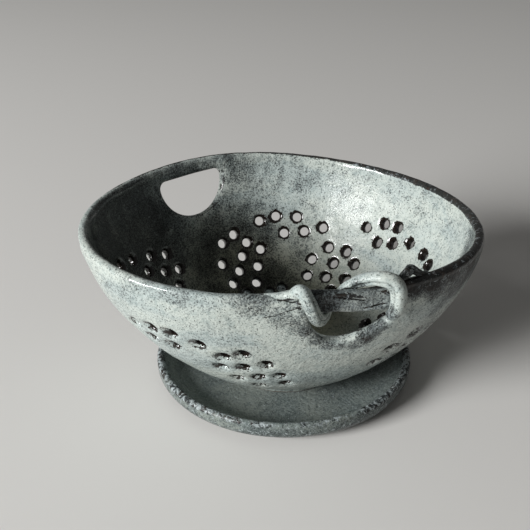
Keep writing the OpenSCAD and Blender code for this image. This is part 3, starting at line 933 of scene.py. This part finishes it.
class Wires:
    # short words for laying nodes: a value is a number, a colour or another node's output
    def __init__(self, tree):
        self.tree = tree
        self.count = 0

    def node(self, kind, sockets=None, **settings):
        made = self.tree.nodes.new(kind)
        made.location = (220 * (self.count % 8), -260 * (self.count // 8))
        self.count += 1
        for key, value in settings.items():
            setattr(made, key, value)
        for socket, value in (sockets or {}).items():
            self.put(made.inputs[socket], value)
        return made

    def put(self, socket, value):
        if isinstance(value, bpy.types.NodeSocket):
            self.tree.links.new(value, socket)
        else:
            socket.default_value = value

    def math(self, operation, a, b=None, c=None, clamp=False):
        given = {i: value for i, value in enumerate((a, b, c)) if value is not None}
        return self.node("ShaderNodeMath", given, operation=operation, use_clamp=clamp).outputs[0]

    plus = partialmethod(math, "ADD")
    minus = partialmethod(math, "SUBTRACT")
    times = partialmethod(math, "MULTIPLY")
    timesPlus = partialmethod(math, "MULTIPLY_ADD")
    over = partialmethod(math, "DIVIDE")
    most = partialmethod(math, "MAXIMUM")

    def vector(self, operation, a, b=None):
        given = {0: a} if b is None else {0: a, 1: b}
        made = self.node("ShaderNodeVectorMath", given, operation=operation)
        return made.outputs["Value" if operation in ("DOT_PRODUCT", "LENGTH", "DISTANCE") else "Vector"]

    def scaled(self, a, share):
        made = self.node("ShaderNodeVectorMath", {0: a, "Scale": share}, operation="SCALE")
        return made.outputs["Vector"]

    def mixColour(self, share, a, b, blend="MIX"):
        made = self.node("ShaderNodeMix", {0: share, 6: a, 7: b}, data_type="RGBA", blend_type=blend)
        return made.outputs[2]

    def laid(self, colour, mask, share, top):
        # the top colour over the first, as strong as a share of the mask
        return self.mixColour(self.times(mask, share), colour, top)

    def tinted(self, share, colour, tint):
        return self.mixColour(share, colour, self.mixColour(1.0, colour, (*tint, 1), "MULTIPLY"))

    def mixValue(self, share, a, b):
        return self.node("ShaderNodeMix", {0: share, 2: a, 3: b}, data_type="FLOAT").outputs[0]

    def pattern(self, place, name):
        scale, detail, rough, warp = grain[name]
        return self.node("ShaderNodeTexNoise", {
            "Vector": place, "Scale": scale, "Detail": detail, "Roughness": rough, "Distortion": warp,
        }).outputs["Fac"]

    def centred(self, value, size):
        # a pattern that runs from 0 to 1 is made to swing about 0
        return self.timesPlus(value, size, -size / 2)

    def stretched(self, place, z):
        return self.node("ShaderNodeMapping", {"Vector": place, "Scale": (1, 1, z)}).outputs["Vector"]

    def ramp(self, value, low, high):
        # from 0 at low to 1 at high
        return self.node("ShaderNodeMapRange", {"Value": value, "From Min": low, "From Max": high},
                         interpolation_type="SMOOTHSTEP").outputs["Result"]


def makeSpeckGroup():
    # dark iron specks: round dots, scattered and uneven in size
    group, w, inputs, outputs = nodeGroup("ironSpecks", [
        ("Place", None), ("Scale", 700.0), ("Amount", 0.2), ("Size", 0.28)], ["Mask"])
    cells = w.node("ShaderNodeTexVoronoi", {
        "Vector": inputs["Place"], "Scale": inputs["Scale"], "Randomness": 1.0}, feature="F1")
    split = w.node("ShaderNodeSeparateColor", {"Color": cells.outputs["Color"]})
    chosen = w.math("LESS_THAN", split.outputs["Red"], inputs["Amount"])
    size = w.times(inputs["Size"], w.timesPlus(split.outputs["Green"], 0.9, 0.35))
    dot = w.ramp(cells.outputs["Distance"], size, w.times(size, 0.45))
    w.put(outputs["Mask"], w.times(chosen, dot))
    return group


def makeGlazeGroup(specks):
    # stippled glaze: Density sets how much of the dark stipple shows through the pale coat, and on an
    # edge the coat thins to near black, with flecks of pale glaze left on it
    group, w, inputs, outputs = nodeGroup("clayGlaze", [
        ("Place", None), ("Pale", (0.5, 0.5, 0.5, 1)), ("Cloud", (0.3, 0.3, 0.3, 1)),
        ("Thin", (0.03, 0.03, 0.03, 1)), ("Fleck", (0.6, 0.65, 0.7, 1)), ("Rust", (0.05, 0.03, 0.02, 1)),
        ("Density", 0.3), ("Specks", 0.16), ("Flecks", 0.5), ("Fleck Level", 0.56), ("Edge", 0.0),
        ("Crease", 0.0)], ["Color", "Roughness", "Height"])
    place = inputs["Place"]
    broad = w.pattern(w.stretched(place, grain["driftStretch"]), "drift")
    blotch = w.pattern(place, "blotch")
    mottle = w.pattern(place, "mottle")
    stipple = w.pattern(place, "stipple")
    dust = w.pattern(place, "dust")
    # soft drift of tone in the pale coat
    pale = w.tinted(w.ramp(broad, 0.38, 0.64), inputs["Pale"], grain["driftTint"])
    pale = w.tinted(w.ramp(mottle, 0.46, 0.68), pale, grain["mottleTint"])
    # how dense the stipple is here
    cloud = w.plus(w.centred(broad, 0.8), w.centred(blotch, 1.1))
    density = w.plus(inputs["Density"], cloud, clamp=True)
    hazeAndShade = w.times(w.minus(density, 0.26, clamp=True), 1.05, clamp=True)
    pale = w.mixColour(hazeAndShade, pale, inputs["Cloud"])
    level = w.timesPlus(density, -0.25, 0.585)
    grainMask = w.ramp(stipple, level, w.plus(level, 0.1))
    colour = w.laid(pale, grainMask, 0.7, inputs["Cloud"])
    deep = w.timesPlus(w.minus(density, 0.2, clamp=True), -0.2, 0.612)
    darkMask = w.ramp(dust, deep, w.plus(deep, 0.05))
    colour = w.laid(colour, darkMask, 0.85, inputs["Thin"])
    # the coat breaks on edges, in a ragged line, and darkens in creases, as pooled glaze and painted
    # shade
    ragged = w.plus(w.centred(blotch, 1.3), w.centred(stipple, 0.9))
    broken = w.ramp(w.plus(inputs["Edge"], ragged), 0.36, 0.62)
    broken = w.times(broken, w.ramp(inputs["Edge"], 0.03, 0.25), clamp=True)
    pooledAndShaded = w.ramp(w.timesPlus(ragged, 0.5, inputs["Crease"]), 0.3, 0.62)
    broken = w.most(broken, pooledAndShaded, clamp=True)
    rusty = w.ramp(w.pattern(place, "rust"), 0.5, 0.64)
    bare = w.mixColour(rusty, inputs["Thin"], inputs["Rust"])
    colour = w.laid(colour, broken, 0.96, bare)
    # pale flecks left floating on the dark
    fleckLevel = inputs["Fleck Level"]
    fleck = w.pattern(place, "flecks")
    fleck = w.ramp(fleck, fleckLevel, w.plus(fleckLevel, 0.09))
    onDark = w.times(w.most(broken, darkMask), inputs["Flecks"])
    fleck = w.times(fleck, onDark)
    colour = w.mixColour(fleck, colour, inputs["Fleck"])
    # iron specks, a few large and many small
    masks = []
    for scale, share, size in grain["specks"]:
        amount = w.times(inputs["Specks"], share)
        part = w.node("ShaderNodeGroup", {
            "Place": place, "Scale": scale, "Amount": amount, "Size": size}, node_tree=specks)
        masks.append(part.outputs["Mask"])
    dots = w.most(w.most(masks[0], masks[1]), w.times(masks[2], 0.7))
    colour = w.laid(colour, dots, 0.88, inputs["Thin"])
    w.put(outputs["Color"], colour)
    dark = w.most(w.most(broken, dots), w.times(darkMask, 0.6))
    rough = w.mixValue(w.ramp(blotch, 0.4, 0.7), 0.24, 0.4)
    w.put(outputs["Roughness"], w.mixValue(dark, rough, 0.25))
    high = w.times(blotch, 0.5)
    high = w.timesPlus(w.pattern(place, "pits"), 0.3, high)
    high = w.timesPlus(w.pattern(place, "skin"), 1.1, high)
    high = w.timesPlus(dark, -0.1, high)
    w.put(outputs["Height"], high)
    return group


def makePatchGroup():
    # Share inside a soft ball round a place on the bowl, 0 outside it
    group, w, inputs, outputs = nodeGroup("softPatch", [
        ("Place", None), ("Middle", None), ("Reach", 0.02), ("Share", 1.0)], ["Mask"])
    away = w.over(w.vector("DISTANCE", inputs["Place"], inputs["Middle"]), inputs["Reach"])
    w.put(outputs["Mask"], w.times(w.ramp(away, 1.0, 0.35), inputs["Share"]))
    return group


def makeMarkGroup():
    # a ragged, tapering dark line between two places, for a crease: pooled glaze and painted shade
    group, w, inputs, outputs = nodeGroup("clayMark", [
        ("Place", None), ("Start", None), ("End", None), ("Width", 0.001)], ["Mask"])
    run = w.vector("SUBTRACT", inputs["End"], inputs["Start"])
    part = w.vector("SUBTRACT", inputs["Place"], inputs["Start"])
    along, whole = w.vector("DOT_PRODUCT", part, run), w.vector("DOT_PRODUCT", run, run)
    share = w.over(along, whole, clamp=True)
    off = w.vector("LENGTH", w.vector("SUBTRACT", part, w.scaled(run, share)))
    # full width in the middle, narrowing to both ends
    fromMiddle = w.timesPlus(share, 2.0, -1.0)
    taper = w.minus(1.0, w.times(fromMiddle, fromMiddle))
    wide = w.times(inputs["Width"], w.timesPlus(taper, 0.7, 0.3))
    torn = w.centred(w.pattern(inputs["Place"], "marks"), 1.6)
    w.put(outputs["Mask"], w.ramp(w.plus(w.over(off, wide), torn), 1.0, 0.45))
    return group


specks = makeSpeckGroup()
glaze = makeGlazeGroup(specks)
patch = makePatchGroup()
mark = makeMarkGroup()


class GlazeWires(Wires):
    # adds the piece's own masks and the patches and marks of one look
    def __init__(self, tree, look):
        super().__init__(tree)
        self.look = look
        self.place = self.node("ShaderNodeTexCoord").outputs["Object"]

    def mask(self, label):
        return self.node("ShaderNodeAttribute", attribute_name=label).outputs["Fac"]

    def strongest(self, group, rows):
        # a row has the values of the group's inputs that come after Place
        total = None
        for row in rows:
            part = self.node("ShaderNodeGroup", node_tree=group)
            for socket, value in zip(part.inputs, (self.place, *row)):
                self.put(socket, value)
            here = part.outputs["Mask"]
            total = here if total is None else self.most(total, here)
        return total

    def patches(self, key):
        rows = [(Vector(row[:3]) * mm, row[3] * mm, row[4]) for row in self.look[key]]
        return self.strongest(patch, rows)

    def marks(self):
        rows = [(Vector(row[:3]) * mm, Vector(row[3:6]) * mm, row[6] * mm) for row in self.look["marks"]]
        return self.strongest(mark, rows)


def wearSmokeAndShade(w, look):
    # how far the coat breaks, how dark the creases are, and how dense the stipple is; some patches carry
    # painted shade
    edge, crease, density = w.times(w.mask("edge"), look["edge"]), w.mask("crease"), look["density"]
    if look.get("lip"):
        edge = w.most(edge, w.times(w.mask("lip"), look["lip"]))
        density = w.plus(density, w.times(w.mask("brim"), look["brim"]))
    if look.get("soot"):
        sooty = w.patches("soot")
        if look.get("insideShadeAndSmoke"):
            sooty = w.times(sooty, w.minus(1.0, w.mask("inside"), clamp=True))
        edge = w.most(edge, sooty)
    if look.get("marks"):
        crease = w.most(crease, w.marks())
    # darker stipple patches, partly painted shade
    if look.get("smokeAndShade"):
        density = w.plus(density, w.patches("smokeAndShade"))
    if look.get("runs"):
        run = w.pattern(w.stretched(w.place, grain["runStretch"]), "runs")
        density = w.plus(density, w.times(w.times(w.centred(run, 2.0), look["runs"]), w.mask("inside")))
    # painted shade inside the bowl, as denser stipple, with some glaze haze
    if look.get("insideShadeAndSmoke"):
        density = w.plus(density, w.times(w.mask("inside"), w.patches("insideShadeAndSmoke")))
    return {"Edge": edge, "Crease": crease, "Density": density}


def darkBoresAndShade(w, look, colour, rough, coat):
    # the bores are dark and glossy, in patches where the mask is half; the dark is partly thin glaze
    # and partly painted shade on the bore walls
    torn = w.centred(w.pattern(w.place, "bores"), 2.4)
    bored = w.ramp(w.plus(w.mask("bore"), torn), 0.42, 0.56)
    bored = w.times(bored, w.ramp(w.mask("bore"), 0.0, 0.3))
    glossy = w.ramp(w.mask("bore"), 0.05, 0.45)
    return (w.mixColour(bored, colour, (*look["bore"], 1)), w.mixValue(glossy, rough, look["boreRough"]),
            w.mixValue(glossy, coat, look["boreCoat"]))


def bareFoot(w, look, colour, rough):
    # the clay is bare where the piece stood in the kiln, up to a line that wanders a little
    up = w.node("ShaderNodeSeparateXYZ", {0: w.place}).outputs["Z"]
    line = w.timesPlus(w.pattern(w.place, "bareEdge"), mm, look["bareBelow"] - 0.5 * mm)
    glazed = w.ramp(w.minus(up, line), 0.0, 0.3 * mm)
    gritty = w.pattern(w.place, "clay")
    clay = w.mixColour(w.ramp(gritty, 0.35, 0.65), (*look["clay"], 1), (*look["toasted"], 1))
    clayRough = w.mixValue(gritty, *look["clayRough"])
    return w.mixColour(glazed, clay, colour), w.mixValue(glazed, clayRough, rough)


def glazeMaterial(name, look):
    material = bpy.data.materials.new(name)
    material.use_nodes = True
    material.node_tree.nodes.clear()
    w = GlazeWires(material.node_tree, look)
    colours = {label: (*look[label.lower()], 1) for label in ("Pale", "Cloud", "Thin", "Fleck", "Rust")}
    mix = w.node("ShaderNodeGroup", {
        **colours, **wearSmokeAndShade(w, look), "Place": w.place,
        "Specks": look["specks"], "Flecks": look["flecks"], "Fleck Level": look["fleckLevel"],
    }, node_tree=glaze)
    colour, rough, coat = mix.outputs["Color"], mix.outputs["Roughness"], look["coat"]
    # painted shade: inside patches are tinted darker and warmer
    if look.get("warmShade"):
        colour = w.tinted(w.times(w.mask("inside"), w.patches("warmShade")), colour, look["warmShadeTint"])
    if look.get("crestCoat"):
        coat = w.mixValue(w.ramp(w.mask("brim"), 0.93, 1.0), coat, look["crestCoat"])
    if look.get("bore"):
        colour, rough, coat = darkBoresAndShade(w, look, colour, rough, coat)
    if look.get("bareBelow"):
        colour, rough = bareFoot(w, look, colour, rough)
    bump = w.node("ShaderNodeBump", {
        "Strength": look["bump"], "Distance": look["bumpDepth"], "Height": mix.outputs["Height"]})
    shader = w.node("ShaderNodeBsdfPrincipled", {
        "Base Color": colour, "Roughness": rough, "Specular IOR Level": look["shine"],
        "Coat Weight": coat, "Coat Roughness": look["coatRough"], "Normal": bump.outputs["Normal"],
    })
    w.node("ShaderNodeOutputMaterial", {"Surface": shader.outputs[0]})
    return material


def dress(piece, material):
    piece.data.materials.clear()
    piece.data.materials.append(material)


# what each glaze is like: a patch's row has its middle and reach in millimetres, and its share;
# a mark's row has its start, its end and its width in millimetres
plainGlaze = {
    "pale": (0.41, 0.446, 0.412), "cloud": (0.062, 0.073, 0.075), "thin": (0.009, 0.009, 0.0085),
    "fleck": (0.4, 0.45, 0.47), "rust": (0.021, 0.015, 0.012),
    "clay": (0.11, 0.095, 0.08), "toasted": (0.07, 0.055, 0.045), "clayRough": (0.72, 0.9),
    "density": 0.12, "specks": 0.12, "flecks": 0.5, "fleckLevel": 0.56, "edge": 0.45,
    "coat": 0.04, "coatRough": 0.08, "shine": 0.15, "bump": 0.5, "bumpDepth": 0.7 * mm,
}
bowlGlaze = {
    **plainGlaze, "lip": 1.0, "brim": 0.1, "crestCoat": 0.5, "runs": 0.6,
    "bore": (0.012, 0.009, 0.007), "boreRough": 0.13, "boreCoat": 0.7,
    # darker stipple: a glaze haze under the front opening, and painted shade right of the handle near the
    # rim
    "smokeAndShade": [
        (-44, -69, 85, 11, .3), (-35.5, -71.9, 80, 10, .45), (-31.8, -71.6, 75.5, 7, .62),
        (-27.1, -72.5, 69, 6.5, .62), (-21.5, -74, 64.2, 6, .55), (-14.8, -75.5, 61.8, 5, .4),
        (-7.4, -76.8, 62.6, 6, .45), (-3.8, -79.4, 66.3, 7, .7), (-.9, -81.3, 69.7, 6, .6),
        (2.2, -82.9, 73, 4.5, .5), (14, -90, 95, 11, .95), (28, -90, 93, 14, .85),
        (46, -85, 89, 20, .75), (70, -70, 88, 26, .6), (-56, -67, 93, 14, .45), (42, -80, 68, 22, .35),
    ],
    "soot": [
        (12, -90, 96, 11, .8), (24, -91, 96, 11, .75), (38, -89, 96, 10, .65), (54, -83, 94.5, 10, .55),
        (70, -72, 93.5, 9, .5), (83, -55, 93, 9, .45), (-31, -71.2, 72.5, 4, .45),
        (-3.5, -79.6, 66.8, 4, .42),
    ],
    # darker stipple inside: mostly painted shade of the left wall, some glaze haze, and a faint painted
    # darkening on the back right
    "insideShadeAndSmoke": [
        (-60, 50, 75, 65, .8), (-90, 0, 70, 60, .75), (0, 60, 40, 55, .5), (24.5, 52.6, 42, 34, .34),
        (-10, 90, 90, 45, .42), (30, 80, 85, 30, .15), (20, 75, 60, 30, .12), (60, 60, 70, 30, .1),
    ],
    # painted shade on the inner floor, back and left: a darker, warmer tint
    "warmShade": [(0, 20, 15, 80, 1), (-5, 50, 35, 55, .8), (-60, 40, 60, 60, .6)],
    "warmShadeTint": (0.6, 0.54, 0.42),
    "marks": [
        (-45.5, -68.3, 94, -43.2, -69.2, 93.8, 1.2), (-38.3, -72.5, 92.5, -36.2, -74, 91.7, .8),
        (-38.3, -72.8, 90.3, -36, -74.2, 89.3, .8), (-51.1, -64.7, 84.4, -46.2, -67.8, 85.7, .4),
        (-46.2, -67.8, 85.7, -42.6, -70.4, 88, .4), (-42.6, -70.4, 88, -36.9, -73.6, 90.1, .4),
    ],
}
handleGlaze = {
    **plainGlaze, "pale": (0.29, 0.314, 0.296), "density": 0.47, "edge": 0.3,
    # the one patch here darkens the bar's left end: painted shade under the left tendril
    "smokeAndShade": [(-28, -77, 93.4, 12, .9)],
    "marks": [
        (-22, -79.5, 95.7, -10.6, -84, 93.4, 1.4), (-2.2, -85.8, 94.8, 1.8, -87.5, 93.5, 1.3),
    ],
}
tendrilGlaze = {
    **plainGlaze, "density": 0.12, "edge": 0.2,
    # darker stipple on the wrap's lower end and the loop: mottled glaze, and painted shade by the bar
    "smokeAndShade": [
        (-36.6, -80, 89.5, 6, .25), (-34.3, -81.3, 86.3, 6, .45), (-.5, -91.2, 87, 6, .55),
        (-11, -81, 98, 5, .5),
    ],
    "soot": [(-36.2, -80.3, 88.5, 4, .3)],
    "marks": [
        (-43.2, -69.2, 93.9, -40.3, -74, 95.5, 1.1), (-40.6, -75.2, 99.2, -39.6, -77.1, 99.4, .45),
        (-40.2, -74.6, 96.7, -39.2, -77.8, 97.2, .45),
    ],
}
curlGlaze = {
    **plainGlaze, "pale": (0.13, 0.142, 0.136), "cloud": (0.03, 0.034, 0.034),
    "density": 0.8, "edge": 0.8,
}
saucerGlaze = {
    **plainGlaze, "pale": (0.19, 0.212, 0.194), "cloud": (0.055, 0.068, 0.067),
    "thin": (0.02, 0.023, 0.024), "fleck": (0.33, 0.37, 0.375), "density": 0.26, "specks": 0.14,
    "flecks": 0.88, "fleckLevel": 0.47, "edge": 0.1, "lip": 0.68, "brim": 0.42, "bareBelow": 0.6 * mm,
}
# painted shade: the foot ring's coat is about half as pale as the bowl's, as it sits in shade under the
# bowl
shadedFootGlaze = {**plainGlaze, "pale": (0.2, 0.22, 0.2), "density": 0.25, "bareBelow": 6.2 * mm}

looks = {
    "bowl": bowlGlaze, "handle": handleGlaze, "tendril": tendrilGlaze, "curl": curlGlaze,
    "saucer": saucerGlaze, "foot": shadedFootGlaze,
}
glazes = {name: glazeMaterial(name + "Glaze", look) for name, look in looks.items()}
print("glazes ready")


# Put the pieces together

seams = {
    "reach": 0.75 * mm,
    # only this part of the bowl has seams: from here to the front, and from here up
    "front": -60 * mm, "low": 76 * mm,
    # degrees before the opening where the dark line under the tendril starts, and degrees to fill it
    "start": 10.5, "fill": 2.5,
}


def darkenSeams(piece, others):
    # darker where one piece of clay lies against another: glaze pooled in the joint, and painted shade
    # there
    mesh, reach = piece.data, seams["reach"]
    layer = mesh.attributes["crease"].data
    crease = np.empty(len(mesh.vertices), np.float32)
    layer.foreach_get("value", crease)
    trees = [BVHTree.FromObject(other, bpy.context.evaluated_depsgraph_get()) for other in others]
    for i, p in enumerate(points(mesh)):
        if p[1] > seams["front"] or p[2] < seams["low"]:
            continue
        strength = eased((heading(p) - frontLeft + seams["start"]) / seams["fill"])
        for tree in trees:
            far = tree.find_nearest(Vector(p), 3 * reach)[3]
            if far is not None:
                crease[i] = max(crease[i], strength * math.exp(-(far / reach) ** 2))
    layer.foreach_set("value", crease)


pieces = {}
for make, node, slot, look, body in (
    (makeSaucer, "saucer", "saucer_glaze", "saucer", "saucer"),
    (makeShell, "bowl_shell", "bowl_glaze", "bowl", "bowl"),
    (makeBar, "handle_bar", "handle_glaze", "handle", "bowl"),
    (makeLeftTendril, "left_tendril", "bowl_glaze", "tendril", "bowl"),
    (makeRightTendril, "right_tendril", "bowl_glaze", "tendril", "bowl"),
    (makeRimCurl, "rim_curl", "handle_glaze", "curl", "bowl"),
):
    piece = make()
    dress(piece, glazes[look])
    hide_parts(node)
    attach(piece, body)
    pieces[node] = piece
joinedClay = [piece for node, piece in pieces.items() if node != "saucer"]
for piece in joinedClay:
    darkenSeams(piece, [other for other in joinedClay if other is not piece])
# the foot ring gets the darkened glaze, painted shade
dress(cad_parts["foot_ring"], glazes["foot"])
print("pieces placed")


# Floor, light and camera

stage = {
    "floor": (0.66, 0.65, 0.628), "floorSize": 8.0,
    # one broad window-like light, low on the left and a little in front
    "key": {"turn": 186, "rise": 20, "far": 3.0, "wide": 1.35, "high": 0.95, "power": 168.0,
            "aim": (0, 0, 0.05)},
    "camera": {"place": (-0.2076, -0.3441, 0.2862), "tilt": 61.357, "pan": -29.5,
               "lens": 57.736, "sensor": 36},
    "world": 0.115, "worldTint": (1.0, 0.99, 0.97),
}


def makeFloor():
    bm = bmesh.new()
    bmesh.ops.create_grid(bm, x_segments=1, y_segments=1, size=stage["floorSize"])
    floor = newObject("floor", bm)
    material = bpy.data.materials.new("paleFloor")
    material.use_nodes = True
    shader = material.node_tree.nodes["Principled BSDF"]
    shader.inputs["Base Color"].default_value = (*stage["floor"], 1)
    shader.inputs["Roughness"].default_value = 0.9
    dress(floor, material)


def makeLamp(name, look):
    lamp = bpy.data.lights.new(name, "AREA")
    lamp.shape, lamp.energy = "RECTANGLE", look["power"]
    lamp.size, lamp.size_y = look["wide"], look["high"]
    holder = bpy.data.objects.new(name, lamp)
    rise = deg(look["rise"])
    way = Vector(around(look["turn"], math.cos(rise), math.sin(rise)))
    holder.location = Vector(look["aim"]) + way * look["far"]
    holder.rotation_euler = (-way).to_track_quat("-Z", "Y").to_euler()
    sceneNow.collection.objects.link(holder)


def makeCamera(look):
    lens = bpy.data.cameras.new("camera")
    lens.lens, lens.sensor_width = look["lens"], look["sensor"]
    lens.clip_start = 0.01
    holder = bpy.data.objects.new("camera", lens)
    holder.location = look["place"]
    holder.rotation_euler = (deg(look["tilt"]), 0, deg(look["pan"]))
    sceneNow.collection.objects.link(holder)
    sceneNow.camera = holder


makeFloor()
makeLamp("keyLight", stage["key"])
makeCamera(stage["camera"])
world = bpy.data.worlds.new("studio")
world.use_nodes = True
air = world.node_tree.nodes["Background"]
air.inputs["Color"].default_value = (*stage["worldTint"], 1)
air.inputs["Strength"].default_value = stage["world"]
sceneNow.world = world
sceneNow.view_settings.view_transform = "Standard"
print("stage ready")
